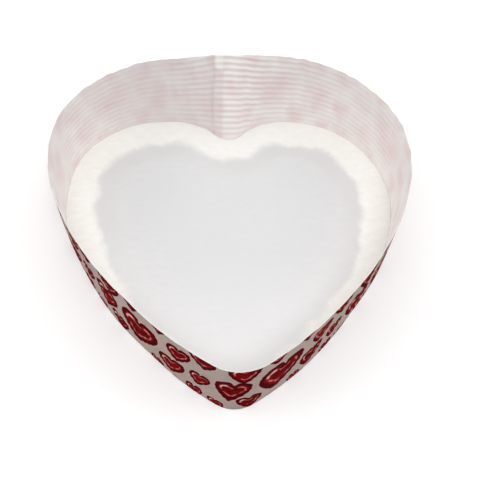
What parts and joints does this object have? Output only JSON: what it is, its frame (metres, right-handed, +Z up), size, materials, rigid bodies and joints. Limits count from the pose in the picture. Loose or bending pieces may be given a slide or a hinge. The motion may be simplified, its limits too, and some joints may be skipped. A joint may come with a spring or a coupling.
{
  "type": "heart shaped paper baking mould",
  "caption": "Heart shaped paper baking mould: a flared wall of crimped printed paper, folded in and pleated at its foot, with a smooth paper floor.",
  "frame": {"origin": "middle of the outer box, on the surface the mould stands on", "axes": "+X across the heart, +Y from the tip to the cleft, +Z up out of the mould"},
  "size_m": [0.1608, 0.1634, 0.0362],
  "materials": {
    "printed_crimped_paper": "matt, crimped in fine ribs, off-white with red hearts printed outside",
    "baking_paper": "smooth, matt to slightly waxy"
  },
  "bodies": {
    "root": {"side_wall": "printed_crimped_paper", "base_sheet": "baking_paper"}
  },
  "joints": []
}
